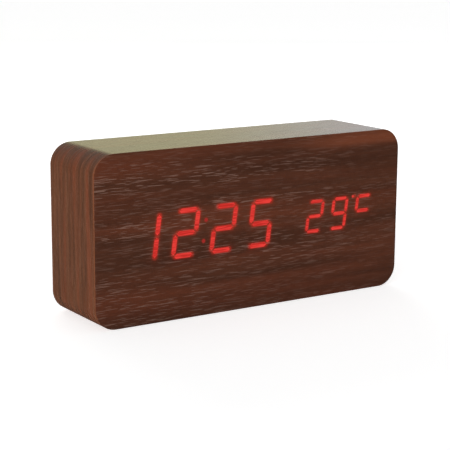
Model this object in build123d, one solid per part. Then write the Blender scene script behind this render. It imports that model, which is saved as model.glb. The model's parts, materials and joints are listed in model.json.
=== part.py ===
from build123d import *

import math
import os

# Wood-look LED alarm clock, as an assembly of its separate pieces.
#
# A block of fibreboard is hollowed out from behind and wrapped in thin wood-grain film. The red digits
# of an LED display shine through its front. A black plastic panel closes the back. It carries the
# battery tray with its hinged door, and the control board with three buttons and the power socket.
#
# Frame, in millimetres: +X to the right seen from the front, +Y from the front to the back, +Z up,
# and the origin in the centre of the base. A pair such as (low, high) gives the two ends of a range.

# ---- Case ----
WIDTH, DEPTH, HEIGHT = 150.0, 38.0, 70.0
CORNER_RADIUS = 9.0
FILM = 0.3
FILM_EDGE_RADIUS = 0.2
WRAP_END_ANGLE = 78.0  # how far the wrap turns round each lower corner, in degrees from the side
BACK_FILM_INSET = 0.1
FRONT_WALL = 3.0
POCKET = (130.0, 50.0, 5.0)  # width, height, corner radius
LEDGE = (138.0, 58.0, 4.0)  # the stepped recess that the back panel lies in
LEDGE_DEPTH = 3.0
MIDDLE = HEIGHT / 2

# ---- Planes from the front to the back ----
FRONT, BACK = -DEPTH / 2, DEPTH / 2
BODY_FRONT, BODY_BACK = FRONT + FILM, BACK - FILM
WALL_BACK = BODY_FRONT + FRONT_WALL
LEDGE_Y = BACK - LEDGE_DEPTH
PANEL_THICKNESS = 2.5
PANEL_BACK = LEDGE_Y + PANEL_THICKNESS
REFLECTOR_BACK = BODY_FRONT + 7.0
BOARD = 1.6
DISPLAY_FACE = REFLECTOR_BACK + BOARD  # the side of the display board with the components
CONTROL_FACE = 9.4  # the side of the control board that faces the back panel
CONTROL_UNDER = CONTROL_FACE - BOARD

# ---- Display ----
ROW_Z = 35.4
SLANT = math.tan(math.radians(8))
TIME = dict(height=20.3, stroke=2.0, columns=9.5, tip=0.45, pitch=18.1, first=-52.05)
TEMPERATURE = dict(height=14.2, stroke=1.5, columns=7.0, tip=0.32, pitch=12.8, first=30.2)
SEGMENTS = "abcdefg"  # clockwise from the top, then the middle bar
LIT = {"1": "bc", "2": "abged", "5": "afgcd", "9": "abcdfg", "C": "afg"}
COLON_X, COLON_RISE, COLON_RADIUS = -25.0, 4.3, 0.8
DEGREE_X, DEGREE_RISE, DEGREE_RADIUS = 50.4, 6.6, 0.6
LENS_DEPTH = 2.0
LENS_GAP = 0.02
DISPLAY_X = 1.0
WINDOW = (124.0, 25.0, 2.0)
FLANGE = (127.0, 36.0, 2.0)
FLANGE_THICKNESS = 2.0
LIGHT_BOX = (122.0, 24.0, 1.5)
DISPLAY_SCREWS = [(DISPLAY_X + sx * 60.0, ROW_Z + sz * 15.8) for sx in (-1, 1) for sz in (-1, 1)]
LED_HEIGHT = 0.6
CONTROLLER_X, CONTROLLER_SIDE = -6.0, 10.0
DRIVER_X, DRIVER_SIZE = (-38.0, 16.0), (17.9, 7.5)
CHIP_ROW_Z = 36.0
COIN_X, COIN_RADIUS = 46.0, 10.0

# ---- Back panel ----
PANEL_CLEARANCE = 0.2
PANEL_SCREWS = [(sx * 65.2, MIDDLE + sz * 25.2) for sx in (-1, 1) for sz in (-1, 1)]
COUNTERBORE_RADIUS, COUNTERBORE_DEPTH = 2.7, 1.4
STANDOFFS = [(x, z) for x in (-58.0, -8.0) for z in (16.0, 54.0)]
STANDOFF_RADIUS, STANDOFF_HOLE, STANDOFF_HOLE_DEPTH = 2.5, 0.85, 5.2
MARK_HEIGHT = 0.25

# ---- Battery tray, cells and door ----
CELL_RADIUS, CELL_LENGTH, CELL_PITCH = 5.25, 44.5, 10.85
NUB_RADIUS, NUB_LENGTH = 1.9, 1.0
JACKET = 0.1
CELL_Z = [MIDDLE + (i - 1.5) * CELL_PITCH for i in range(4)]
BAY_X, BAY_Z = (10.4, 57.6), (MIDDLE - 21.9, MIDDLE + 21.9)
BAY_FLOOR = 4.8
CELL_Y = BAY_FLOOR + CELL_RADIUS + 0.05
TRAY_WALL = 1.2
TRAY_RIM = 0.4
TRAY_FLANGE_X, TRAY_FLANGE_Z = (-1.5, 64.6), (10.4, 59.6)
TRAY_SCREWS = [(x, z) for x in (0.8, 62.2) for z in (20.0, 50.0)]
CONTACT = 0.3
SPRING_WIRE, SPRING_WIDE, SPRING_NARROW = 0.25, 3.6, 2.2  # radii
TAB_Y = 8.0
LEAD_RADIUS = 0.6
HATCH_X, HATCH_Z = (3.2, 60.4), (11.6, 58.4)
DOOR_GAP, DOOR_THICKNESS = 0.25, 2.0
DOOR_X = (HATCH_X[0] + DOOR_GAP, HATCH_X[1] - DOOR_GAP)
DOOR_Z = (HATCH_Z[0] + DOOR_GAP, HATCH_Z[1] - DOOR_GAP)
DOOR_Y = (PANEL_BACK - DOOR_THICKNESS, PANEL_BACK)
HINGE_X, HINGE_Y = DOOR_X[1] - DOOR_THICKNESS / 2, PANEL_BACK - DOOR_THICKNESS / 2
HINGE_PIN, HINGE_HOLE, HINGE_REACH = 0.5, 0.55, 1.4
LATCH_WIDTH, LATCH_LEG = 12.0, 0.8
LATCH_X = (5.0, 8.8)
LATCH_BEND_Y = 13.0
LATCH_HOOK_X = 2.5
LATCH_PAD_X = 3.6

# ---- Control board ----
CONTROL_X, CONTROL_Z = (-61.0, -5.0), (13.0, 57.0)
BUTTONS = {"set": -15.0, "up": -31.0, "down": -47.0}
BUTTON_Z = 46.0
BUTTON_PLACES = [(x, BUTTON_Z) for x in BUTTONS.values()]
BUTTON_RADIUS, BUTTON_HOLE = 3.4, 3.7
BUTTON_FLANGE_RADIUS, BUTTON_FLANGE = 4.4, (14.9, 15.9)
BUTTON_TOP = PANEL_BACK + 0.4
BUTTON_GAP = 0.02  # between a button and its switch's plunger
PLUNGER_RADIUS, PLUNGER_BORE, PLUNGER = 1.7, 1.75, (10.4, 14.4)
SWITCH_SIZE, SWITCH_TOP = 6.0, CONTROL_FACE + 3.5
USB_X, USB_Z = -16.0, 24.0
USB_MOUTH, USB_WALL = 18.2, 0.3
MICROPHONE_X, BUZZER_X, SOUND_Z = -29.0, -44.5, 24.0
SENSOR_X, SENSOR_Z = -57.5, 35.0
RIBBON_Z, RIBBON_FROM_X, RIBBON_TO_X = 35.0, -21.0, -48.0
CONNECTOR_HEIGHT, PLUG_HEIGHT = 5.2, 5.8
RIBBON_BEND = 2.5
WIRE_PITCH, WIRE_RADIUS, WIRES = 1.27, 0.45, 8


# ---- Building blocks ----
def between_planes(sketch, low, high):
    """Makes a sketch solid between two depths. It is drawn as seen from the front, x right and y up."""
    face_plane = Plane(origin=(0, max(low, high), 0), x_dir=(1, 0, 0), z_dir=(0, -1, 0))
    return extrude(face_plane * sketch, amount=abs(high - low))


def panel_shape(size, x=0.0, z=MIDDLE):
    """A rounded rectangle, sized (width, height, corner radius)."""
    return Pos(x, z) * RectangleRounded(*size)


def field(x, z, radius=0.0):
    """A rectangle over two ranges, with round corners if there is a radius."""
    width, height = x[1] - x[0], z[1] - z[0]
    shape = RectangleRounded(width, height, radius) if radius else Rectangle(width, height)
    return Pos(sum(x) / 2, sum(z) / 2) * shape


def discs(radius, places):
    return Sketch() + [Pos(x, z) * Circle(radius) for x, z in places]


def bars(radius, places, low, high):
    """Round bars of one size that lie along Y."""
    return between_planes(discs(radius, places), low, high)


def block(x, y, z):
    """A box over three ranges."""
    return Pos(sum(x) / 2, sum(y) / 2, sum(z) / 2) * Box(x[1] - x[0], y[1] - y[0], z[1] - z[0])


def around(middle, size):
    return (middle - size / 2, middle + size / 2)


def rounded_at(shape, depth, radius):
    """Rounds the edges that lie in the plane at this depth."""
    return fillet([e for e in shape.edges() if abs(e.center().Y - depth) < 1e-4], radius)


def rod_along_x(radius, start, end, y, z):
    return Pos((start + end) / 2, y, z) * Rot(Y=90) * Cylinder(radius, abs(end - start))


def together(shapes):
    """Separate pieces of one kind, kept as separate solids in one node."""
    return Compound([solid for shape in shapes for solid in shape.solids()])


def pan_screw(place, seat, shank, length, head, inwards):
    """A cross-head screw. Its head, (radius, height), sits on the seat. Its shank runs inwards x Y."""
    x, z = place
    radius, height = head
    top, neck = seat - inwards * height, seat + inwards * (length - shank)
    screw = rounded_at(bars(radius, [place], seat, top), top, height * 0.45)
    screw += bars(shank, [place], seat, neck)
    bottom = (Align.CENTER, Align.CENTER, Align.MIN)
    screw += Pos(x, neck, z) * Rot(X=-90 * inwards) * Cone(shank, shank * 0.2, shank, align=bottom)
    arm, slot = radius * 1.2, radius * 0.24
    cross = Pos(x, z) * (Rectangle(arm, slot) + Rectangle(slot, arm))
    return screw - between_planes(cross, top - inwards * 0.1, top + inwards * height * 0.55)


def screws(places, seat, shank, length, head, inwards):
    return together([pan_screw(place, seat, shank, length, head, inwards) for place in places])


def chips(places, size, low, high):
    """Small components on a board. A place is (x, z), or (x, z, turn in degrees)."""
    shapes = []
    for x, z, *turn in places:
        outline_turned = Rot(Z=turn[0] if turn else 0) * Rectangle(*size)
        shapes.append(between_planes(Pos(x, z) * outline_turned, low, high))
    return together(shapes)


# ---- Case and films ----
def outline(inset=0.0):
    """The clock's outline seen from the front, moved inwards."""
    return panel_shape((WIDTH - 2 * inset, HEIGHT - 2 * inset, CORNER_RADIUS - inset))


def make_case_body():
    body = between_planes(outline(FILM), BODY_FRONT, BODY_BACK)
    body -= between_planes(panel_shape(POCKET), WALL_BACK, BACK)
    body -= between_planes(panel_shape(LEDGE), LEDGE_Y, BACK)
    body -= between_planes(panel_shape(WINDOW, DISPLAY_X, ROW_Z), FRONT, WALL_BACK)
    body -= bars(1.0, DISPLAY_SCREWS, WALL_BACK - 2.4, WALL_BACK)
    return body - bars(1.1, PANEL_SCREWS, LEDGE_Y - 9.0, LEDGE_Y)


def make_front_film():
    film = rounded_at(between_planes(outline(), FRONT, BODY_FRONT), FRONT, FILM_EDGE_RADIUS)
    lit = Sketch() + [segment(kind, x, name) for kind, x, name, on in all_segments() if on]
    return film - between_planes(lit + display_dots(), FRONT, BODY_FRONT)


def make_wrap_film():
    """The strip over both sides and the top. It turns under the lower corners and ends there."""
    ring = between_planes(outline() - outline(FILM), BODY_FRONT, BODY_BACK)
    end_x = WIDTH / 2 - CORNER_RADIUS * (1 - math.cos(math.radians(WRAP_END_ANGLE)))
    return ring - block((-end_x, end_x), (FRONT, BACK), (-1, CORNER_RADIUS))


def make_base_film():
    half = WIDTH / 2 - CORNER_RADIUS
    return block((-half, half), (BODY_FRONT, BODY_BACK), (0, FILM))


def make_back_film():
    ring = rounded_at(between_planes(outline(BACK_FILM_INSET), BODY_BACK, BACK), BACK, FILM_EDGE_RADIUS)
    return ring - between_planes(panel_shape(LEDGE), BODY_BACK, BACK)


# ---- Display: segments, reflector and lenses ----
def segment_points(kind, name, gap=0.0):
    """The corners of one segment about its digit's middle. The gap shrinks it all round."""
    row, column = (kind["height"] - kind["stroke"]) / 2, kind["columns"] / 2
    level = name in "agd"
    half = (2 * column if level else row) / 2 - kind["tip"] - math.sqrt(2) * gap
    tip = kind["stroke"] / 2 - gap
    corners = [(-half, 0), (tip - half, tip), (half - tip, tip), (half, 0), (half - tip, -tip), (tip - half, -tip)]
    if level:
        rise = {"a": row, "g": 0.0, "d": -row}[name]
        corners = [(u, v + rise) for u, v in corners]
    else:
        side = column if name in "bc" else -column
        rise = row / 2 if name in "bf" else -row / 2
        corners = [(v + side, u + rise) for u, v in corners]
    return [(u + v * SLANT, v) for u, v in corners]


def segment(kind, x, name, gap=0.0):
    return Pos(x, ROW_Z) * make_face(Polyline(*segment_points(kind, name, gap), close=True))


def all_segments():
    """Every segment of the display: its kind, its digit's x, its name, and whether it is lit."""
    for kind, digits in ((TIME, "1225"), (TEMPERATURE, "29C")):
        for i, digit in enumerate(digits):
            for name in SEGMENTS:
                yield kind, kind["first"] + i * kind["pitch"], name, name in LIT[digit]


def display_dots(gap=0.0):
    """The colon's two dots and the degree dot."""
    dots = [(COLON_X + s * COLON_RISE * SLANT, s * COLON_RISE, COLON_RADIUS) for s in (-1, 1)]
    dots.append((DEGREE_X, DEGREE_RISE, DEGREE_RADIUS))
    return Sketch() + [Pos(x, ROW_Z + rise) * Circle(radius - gap) for x, rise, radius in dots]


def make_reflector():
    """A boss that fills the window, a flange behind the wall, and an open cell for each segment."""
    boss = (WINDOW[0] - 0.3, WINDOW[1] - 0.3, WINDOW[2])
    body = between_planes(panel_shape(boss, DISPLAY_X, ROW_Z), BODY_FRONT, WALL_BACK)
    body += between_planes(panel_shape(FLANGE, DISPLAY_X, ROW_Z), WALL_BACK, WALL_BACK + FLANGE_THICKNESS)
    body += between_planes(panel_shape(LIGHT_BOX, DISPLAY_X, ROW_Z), WALL_BACK, REFLECTOR_BACK)
    body += bars(2.1, DISPLAY_SCREWS, WALL_BACK, REFLECTOR_BACK)
    cells = Sketch() + [segment(kind, x, name) for kind, x, name, _ in all_segments()]
    body -= between_planes(cells + display_dots(), BODY_FRONT, REFLECTOR_BACK)
    return body - bars(1.1, DISPLAY_SCREWS, WALL_BACK, REFLECTOR_BACK)


def make_lenses(kinds, lit):
    """Light guides in the front of the cells. The lit ones come through to the clock's face."""
    front = FRONT if lit else BODY_FRONT + LENS_GAP
    shapes = []
    for kind, x, name, on in all_segments():
        if kind in kinds and on == lit:
            shapes.append(between_planes(segment(kind, x, name, LENS_GAP), front, BODY_FRONT + LENS_DEPTH))
    return together(shapes)


def make_dot_lenses():
    return together([between_planes(face, FRONT, BODY_FRONT + LENS_DEPTH) for face in display_dots(LENS_GAP).faces()])


def make_led_chips():
    """Two chips behind each large segment, and one behind each small segment and each dot."""
    places = []
    for kind, x, name, _ in all_segments():
        points = segment_points(kind, name)
        u, v = sum(p[0] for p in points) / 6, sum(p[1] for p in points) / 6
        direction = (1.0, 0.0) if name in "agd" else (SLANT, 1.0)
        turn = math.degrees(math.atan2(direction[1], direction[0]))
        for reach in (-2.0, 2.0) if kind is TIME else (0.0,):
            places.append((x + u + reach * direction[0], ROW_Z + v + reach * direction[1], turn))
    segments = chips(places, (1.6, 0.8), REFLECTOR_BACK - LED_HEIGHT, REFLECTOR_BACK)
    dots = [(face.center().X, face.center().Y) for face in display_dots().faces()]
    return together([segments, chips(dots, (0.9, 0.5), REFLECTOR_BACK - LED_HEIGHT, REFLECTOR_BACK)])


# ---- Display board ----
def make_display_board():
    board = between_planes(panel_shape(FLANGE, DISPLAY_X, ROW_Z), REFLECTOR_BACK, DISPLAY_FACE)
    return board - bars(1.1, DISPLAY_SCREWS, REFLECTOR_BACK, DISPLAY_FACE)


def make_display_screws():
    length = DISPLAY_FACE - WALL_BACK + 2.2
    return screws(DISPLAY_SCREWS, DISPLAY_FACE, 1.0, length, (2.0, 1.4), -1)


def make_display_chips():
    """The square controller chip, and the two long chips that drive the segments."""
    low = DISPLAY_FACE + 0.15
    controller = chips([(CONTROLLER_X, CHIP_ROW_Z)], (CONTROLLER_SIDE, CONTROLLER_SIDE), low, low + 1.4)
    return together([controller, chips([(x, CHIP_ROW_Z) for x in DRIVER_X], DRIVER_SIZE, low, low + 2.2)])


def make_display_chip_leads():
    reach = CONTROLLER_SIDE / 2 + 0.5
    at_sides, at_ends, in_rows = [], [], []
    for step in [(i - 5) * 0.8 for i in range(11)]:
        at_sides += [(CONTROLLER_X + s * reach, CHIP_ROW_Z + step) for s in (-1, 1)]
        at_ends += [(CONTROLLER_X + step, CHIP_ROW_Z + s * reach) for s in (-1, 1)]
    row_reach = DRIVER_SIZE[1] / 2 + 0.6
    for x in DRIVER_X:
        in_rows += [(x + (i - 6.5) * 1.27, CHIP_ROW_Z + s * row_reach) for i in range(14) for s in (-1, 1)]
    kinds = ((at_sides, (1.0, 0.35)), (at_ends, (0.35, 1.0)), (in_rows, (0.42, 1.2)))
    return together([chips(places, size, DISPLAY_FACE, DISPLAY_FACE + 0.25) for places, size in kinds])


def make_clock_crystal():
    """A small can that lies on the board, with its two leads bent down."""
    radius, x, z = 1.55, (-1.0, 7.0), 47.0
    y = DISPLAY_FACE + radius
    crystal = rod_along_x(radius, *x, y, z)
    for side in (-0.5, 0.5):
        crystal += rod_along_x(0.2, x[0] - 1.6, x[0], y, z + side)
        crystal += bars(0.2, [(x[0] - 1.5, z + side)], DISPLAY_FACE, y + 0.2)
    return crystal


def make_backup_cell_holder():
    cup = bars(COIN_RADIUS + 1.2, [(COIN_X, ROW_Z)], DISPLAY_FACE, DISPLAY_FACE + 3.6)
    cup -= bars(COIN_RADIUS + 0.15, [(COIN_X, ROW_Z)], DISPLAY_FACE + 1.0, DISPLAY_FACE + 3.6)
    return cup - block(around(COIN_X, 24), (DISPLAY_FACE + 1.0, DISPLAY_FACE + 4), (ROW_Z + 7.5, ROW_Z + 12))


def make_backup_cell_clip():
    """A sprung strap over the coin cell, soldered to the board at its lower end."""
    top = DISPLAY_FACE + 4.8
    strap = block(around(COIN_X, 4.4), (top - 0.5, top), (ROW_Z - 12.6, ROW_Z + 3))
    return strap + block(around(COIN_X, 4.4), (DISPLAY_FACE, top), (ROW_Z - 12.6, ROW_Z - 12.1))


def make_connector(x, face, outwards):
    """A shrouded socket for the ribbon's plug, open away from its board."""
    end = face + outwards * CONNECTOR_HEIGHT
    shell = chips([(x, RIBBON_Z)], (6.0, 13.4), face, end)
    return shell - chips([(x, RIBBON_Z)], (4.4, 11.8), face + outwards * 1.2, end)


def make_ribbon_plugs():
    plugs = []
    for x, face, outwards in ((RIBBON_FROM_X, DISPLAY_FACE, 1), (RIBBON_TO_X, CONTROL_UNDER, -1)):
        plugs.append(chips([(x, RIBBON_Z)], (4.2, 11.6), face + outwards * 1.2, face + outwards * PLUG_HEIGHT))
    return together(plugs)


def make_ribbon_cable():
    """Eight joined wires that turn twice between the two boards."""
    start, end = DISPLAY_FACE + PLUG_HEIGHT, CONTROL_UNDER - PLUG_HEIGHT
    middle = (start + end) / 2
    corners = [(RIBBON_FROM_X, start), (RIBBON_FROM_X, middle), (RIBBON_TO_X, middle), (RIBBON_TO_X, end)]
    path = FilletPolyline(*[(x, y, RIBBON_Z) for x, y in corners], radius=RIBBON_BEND)
    wires = [Pos(0, (i - (WIRES - 1) / 2) * WIRE_PITCH) * Circle(WIRE_RADIUS) for i in range(WIRES)]
    flat = Rectangle(WIRE_RADIUS * 0.8, (WIRES - 1) * WIRE_PITCH) + wires
    end_plane = Plane(origin=(RIBBON_FROM_X, start, RIBBON_Z), x_dir=(1, 0, 0), z_dir=(0, 1, 0))
    return sweep(end_plane * flat, path=path)


# ---- Back panel ----
def triangle(x, z, size, point):
    """A triangle that points up or down, `point` being 1 or -1."""
    half = size / 2
    corners = [(x - half, z - point * half), (x + half, z - point * half), (x, z + point * half)]
    return make_face(Polyline(*corners, close=True))


def button_marks():
    """A ring with a dot beside the set button, and an arrow beside each of the others."""
    mark_z = BUTTON_Z + 7.6
    ring = Pos(BUTTONS["set"], mark_z) * (Circle(1.7) - Circle(1.15) + Circle(0.5))
    return ring + triangle(BUTTONS["up"], mark_z, 3.0, 1) + triangle(BUTTONS["down"], mark_z, 3.0, -1)


def sound_holes():
    """One hole over the middle of the buzzer and six round it."""
    angles = [i * math.pi / 3 for i in range(6)]
    return [(BUZZER_X, SOUND_Z)] + [(BUZZER_X + 3 * math.cos(a), SOUND_Z + 3 * math.sin(a)) for a in angles]


def make_back_panel():
    width, height, radius = LEDGE
    size = (width - 2 * PANEL_CLEARANCE, height - 2 * PANEL_CLEARANCE, radius - PANEL_CLEARANCE)
    panel = rounded_at(between_planes(panel_shape(size), LEDGE_Y, PANEL_BACK), PANEL_BACK, 0.5)
    panel += bars(STANDOFF_RADIUS, STANDOFFS, CONTROL_FACE, LEDGE_Y)
    panel += between_planes(button_marks(), PANEL_BACK, PANEL_BACK + MARK_HEIGHT)
    openings = field(HATCH_X, HATCH_Z, 0.5)
    openings += discs(BUTTON_HOLE, BUTTON_PLACES)
    openings += discs(1.4, PANEL_SCREWS)
    openings += discs(0.8, [(MICROPHONE_X, SOUND_Z)])
    openings += discs(0.6, sound_holes())
    openings += panel_shape((9.4, 4.4, 1.2), USB_X, USB_Z)
    openings += [Pos(SENSOR_X, SENSOR_Z + rise) * SlotOverall(7.0, 1.2) for rise in (-6, -3, 0, 3, 6)]
    panel -= between_planes(openings, LEDGE_Y, PANEL_BACK)
    panel -= bars(COUNTERBORE_RADIUS, PANEL_SCREWS, PANEL_BACK - COUNTERBORE_DEPTH, PANEL_BACK)
    panel -= bars(STANDOFF_HOLE, STANDOFFS, CONTROL_FACE, CONTROL_FACE + STANDOFF_HOLE_DEPTH)
    panel -= bars(0.8, TRAY_SCREWS, LEDGE_Y, LEDGE_Y + 2.0)
    hinge = Cylinder(HINGE_HOLE, HATCH_Z[1] - HATCH_Z[0] + 2 * HINGE_REACH)
    return panel - Pos(HINGE_X, HINGE_Y, MIDDLE) * hinge


# ---- Battery tray, cells and door ----
def make_battery_tray():
    outer_x, outer_z = [(low - TRAY_WALL, high + TRAY_WALL) for low, high in (BAY_X, BAY_Z)]
    tray = between_planes(field(outer_x, outer_z, 1.5), BAY_FLOOR - TRAY_WALL, LEDGE_Y + TRAY_RIM)
    flange = field(TRAY_FLANGE_X, TRAY_FLANGE_Z, 4.6)
    latch_way = field((LATCH_HOOK_X - 0.6, outer_x[0]), around(MIDDLE, LATCH_WIDTH + 1.2))
    tray += between_planes(flange - latch_way - discs(0.9, TRAY_SCREWS), LEDGE_Y - TRAY_WALL, LEDGE_Y)
    tray -= block(BAY_X, (BAY_FLOOR, LEDGE_Y + TRAY_RIM), BAY_Z)
    for low, high in zip(CELL_Z, CELL_Z[1:]):
        tray += block((BAY_X[0] + 1, BAY_X[1] - 1), (BAY_FLOOR, BAY_FLOOR + 2.4), around((low + high) / 2, 1.0))
    for z in (CELL_Z[0], CELL_Z[-1]):
        tray -= block((outer_x[0], BAY_X[0]), around(TAB_Y + CONTACT / 2, 0.6), around(z, 3.4))
    return tray


def cell_ends(i):
    """The x of a cell's flat end and of its nub's tip. The cells point to and fro in turn."""
    left, right = BAY_X[0] + CONTACT, BAY_X[1] - CONTACT
    return (right - CELL_LENGTH, right) if i % 2 == 0 else (left + CELL_LENGTH, left)


def make_battery_cells():
    cells = []
    for i, z in enumerate(CELL_Z):
        flat, tip = cell_ends(i)
        shoulder = tip - math.copysign(NUB_LENGTH, tip - flat)
        can = rod_along_x(CELL_RADIUS - JACKET, flat, shoulder, CELL_Y, z)
        cells.append(can + rod_along_x(NUB_RADIUS, shoulder, tip, CELL_Y, z))
    return together(cells)


def make_cell_jackets():
    jackets = []
    for i, z in enumerate(CELL_Z):
        flat, tip = cell_ends(i)
        forwards = math.copysign(1, tip - flat)
        ends = (flat + forwards * 0.4, tip - forwards * (NUB_LENGTH + 0.4))
        tube = rod_along_x(CELL_RADIUS, *ends, CELL_Y, z) - rod_along_x(CELL_RADIUS - JACKET, *ends, CELL_Y, z)
        jackets.append(tube)
    return together(jackets)


def make_contact_plates():
    """A plate for one cell at each end of the chain, and plates that join two neighbours."""
    y = around(CELL_Y, 8.6)
    left, right = (BAY_X[0], BAY_X[0] + CONTACT), (BAY_X[1] - CONTACT, BAY_X[1])
    plates = []
    for x, first, last in ((left, 0, 0), (left, 1, 2), (left, 3, 3), (right, 0, 1), (right, 2, 3)):
        plate = block(x, y, (CELL_Z[first] - 4.3, CELL_Z[last] + 4.3))
        if first == last:
            plate += block((BAY_X[0] - 2.4, BAY_X[0]), (TAB_Y, TAB_Y + CONTACT), around(CELL_Z[first], 3.0))
        plates.append(plate)
    return together(plates)


def conical_coil(height, turns=3, steps=8):
    """The centre line of a spring that narrows as it rises from the XY plane."""
    points = []
    for i in range(turns * steps + 1):
        rise, angle = i / (turns * steps), 2 * math.pi * i / steps
        radius = SPRING_WIDE + (SPRING_NARROW - SPRING_WIDE) * rise
        points.append((radius * math.cos(angle), radius * math.sin(angle), height * rise))
    return Spline(*points)


def make_contact_springs():
    """Cone-shaped springs that press on the flat end of each cell."""
    springs = []
    for i, z in enumerate(CELL_Z):
        flat, tip = cell_ends(i)
        forwards = math.copysign(1, tip - flat)
        plate = BAY_X[0] + CONTACT if i % 2 == 0 else BAY_X[1] - CONTACT
        coil = conical_coil(abs(flat - plate) - 2 * SPRING_WIRE)
        spring = sweep(Plane(origin=coil @ 0, z_dir=coil % 0) * Circle(SPRING_WIRE), path=coil)
        springs.append(Pos(plate + forwards * SPRING_WIRE, CELL_Y, z) * Rot(Y=90 * forwards) * spring)
    return together(springs)


def make_battery_lead(z, board_z):
    """A wire from a contact's tab to a pad on the control board's edge."""
    low, high, pad_x = TAB_Y + CONTACT + LEAD_RADIUS, CONTROL_FACE + 2.6, CONTROL_X[1] - 2.5
    corners = [(BAY_X[0] - 1.6, low, z), (4.2, low, z), (1.2, high, z), (pad_x, high, board_z)]
    path = FilletPolyline(*corners, (pad_x, CONTROL_FACE, board_z), radius=1.5)
    return sweep(Plane(origin=path @ 0, z_dir=path % 0) * Circle(LEAD_RADIUS), path=path)


def make_battery_door():
    """A plate with a round hinge edge, two pins, finger grooves and a gap for the latch."""
    length = DOOR_Z[1] - DOOR_Z[0]
    door = block((DOOR_X[0], HINGE_X), DOOR_Y, DOOR_Z)
    outer_edge = [e for e in door.edges() if abs(e.center().Y - PANEL_BACK) < 1e-4 and e.center().X < HINGE_X - 1]
    door = chamfer(outer_edge, 0.3)
    door += Pos(HINGE_X, HINGE_Y, MIDDLE) * Cylinder(DOOR_THICKNESS / 2, length)
    door += Pos(HINGE_X, HINGE_Y, MIDDLE) * Cylinder(HINGE_PIN, length + 2 * (HINGE_REACH - DOOR_GAP))
    door -= block((DOOR_X[0], LATCH_X[1]), DOOR_Y, around(MIDDLE, LATCH_WIDTH + 0.6))
    slots = [SlotOverall(9 - 2 * i, 0.7, rotation=90) for i in range(3)]
    grooves = Sketch() + [Pos(LATCH_X[1] + 2.2 + 1.6 * i, MIDDLE) * slot for i, slot in enumerate(slots)]
    return door - between_planes(grooves, PANEL_BACK - 0.3, PANEL_BACK)


def make_door_latch():
    """A sprung U with a thumb pad. Its hook reaches behind the edge of the panel's opening."""
    left, right = LATCH_X
    bend_x, bend_radius = (left + right) / 2, (right - left) / 2
    legs = field((left, right), (LATCH_BEND_Y, PANEL_BACK)) + Pos(bend_x, LATCH_BEND_Y) * Circle(bend_radius)
    legs -= field((left + LATCH_LEG, right - LATCH_LEG), (LATCH_BEND_Y, PANEL_BACK + 1))
    legs -= Pos(bend_x, LATCH_BEND_Y) * Circle(bend_radius - LATCH_LEG)
    pad = field((LATCH_PAD_X, left), (PANEL_BACK - 1.2, PANEL_BACK))
    hook_top = LEDGE_Y - 0.15
    hook = make_face(Polyline((left, hook_top), (LATCH_HOOK_X, hook_top), (left, hook_top - 1.6), close=True))
    profile = Pos(0, 0, MIDDLE - LATCH_WIDTH / 2) * (legs + pad + hook)
    return extrude(profile, amount=LATCH_WIDTH, dir=(0, 0, 1))


# ---- Control board ----
def make_control_board():
    board = between_planes(field(CONTROL_X, CONTROL_Z, 1.0), CONTROL_UNDER, CONTROL_FACE)
    return board - bars(1.0, STANDOFFS, CONTROL_UNDER, CONTROL_FACE)


def make_switch_bodies():
    bodies = chips(BUTTON_PLACES, (SWITCH_SIZE, SWITCH_SIZE), CONTROL_FACE, SWITCH_TOP)
    return together([bodies - bars(PLUNGER_BORE, BUTTON_PLACES, CONTROL_FACE + 0.5, SWITCH_TOP)])


def make_switch_covers():
    """The steel plate on top of each switch, with its four rivets."""
    plates = chips(BUTTON_PLACES, (SWITCH_SIZE, SWITCH_SIZE), SWITCH_TOP, SWITCH_TOP + 0.2)
    plates -= bars(PLUNGER_BORE, BUTTON_PLACES, SWITCH_TOP, SWITCH_TOP + 0.2)
    rivets = [(x + sx * 2.2, z + sz * 2.2) for x, z in BUTTON_PLACES for sx in (-1, 1) for sz in (-1, 1)]
    return together([plates + bars(0.45, rivets, SWITCH_TOP, SWITCH_TOP + 0.4)])


def make_switch_terminals():
    feet = [(x + sx * 3.5, z + sz * 2.25) for x, z in BUTTON_PLACES for sx in (-1, 1) for sz in (-1, 1)]
    return chips(feet, (1.0, 0.7), CONTROL_FACE, CONTROL_FACE + 0.6)


def make_plunger(x):
    return bars(PLUNGER_RADIUS, [(x, BUTTON_Z)], *PLUNGER)


def make_button(x):
    """A cap with a dished top, a flange behind the panel and a stub that meets the plunger."""
    place = [(x, BUTTON_Z)]
    cap = rounded_at(bars(BUTTON_RADIUS, place, BUTTON_FLANGE[0], BUTTON_TOP), BUTTON_TOP, 0.4)
    cap += bars(BUTTON_FLANGE_RADIUS, place, *BUTTON_FLANGE)
    cap += bars(PLUNGER_RADIUS, place, PLUNGER[1] + BUTTON_GAP, BUTTON_FLANGE[0])
    return cap - Pos(x, BUTTON_TOP + 19.8, BUTTON_Z) * Sphere(20.0)


def make_usb_shell():
    outer = panel_shape((7.5, 2.6, 0.6), USB_X, USB_Z)
    inner = panel_shape((7.5 - 2 * USB_WALL, 2.6 - 2 * USB_WALL, 0.4), USB_X, USB_Z)
    shell = between_planes(outer, CONTROL_FACE, USB_MOUTH)
    return shell - between_planes(inner, CONTROL_FACE + 1.0, USB_MOUTH)


def make_usb_tongue():
    """The contact carrier that stands in the middle of the socket."""
    carrier = chips([(USB_X, USB_Z - 0.45)], (4.6, 0.7), CONTROL_FACE + 1.0, USB_MOUTH - 0.9)
    contacts = [(USB_X + (i - 2) * 0.85, USB_Z - 0.02) for i in range(5)]
    return carrier + chips(contacts, (0.4, 0.2), CONTROL_FACE + 1.0, USB_MOUTH - 1.3)


def make_buzzer():
    place = [(BUZZER_X, SOUND_Z)]
    buzzer = rounded_at(bars(6.0, place, CONTROL_FACE, CONTROL_FACE + 5.4), CONTROL_FACE + 5.4, 0.4)
    return buzzer - bars(1.0, place, CONTROL_FACE + 3.0, CONTROL_FACE + 5.4)


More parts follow.
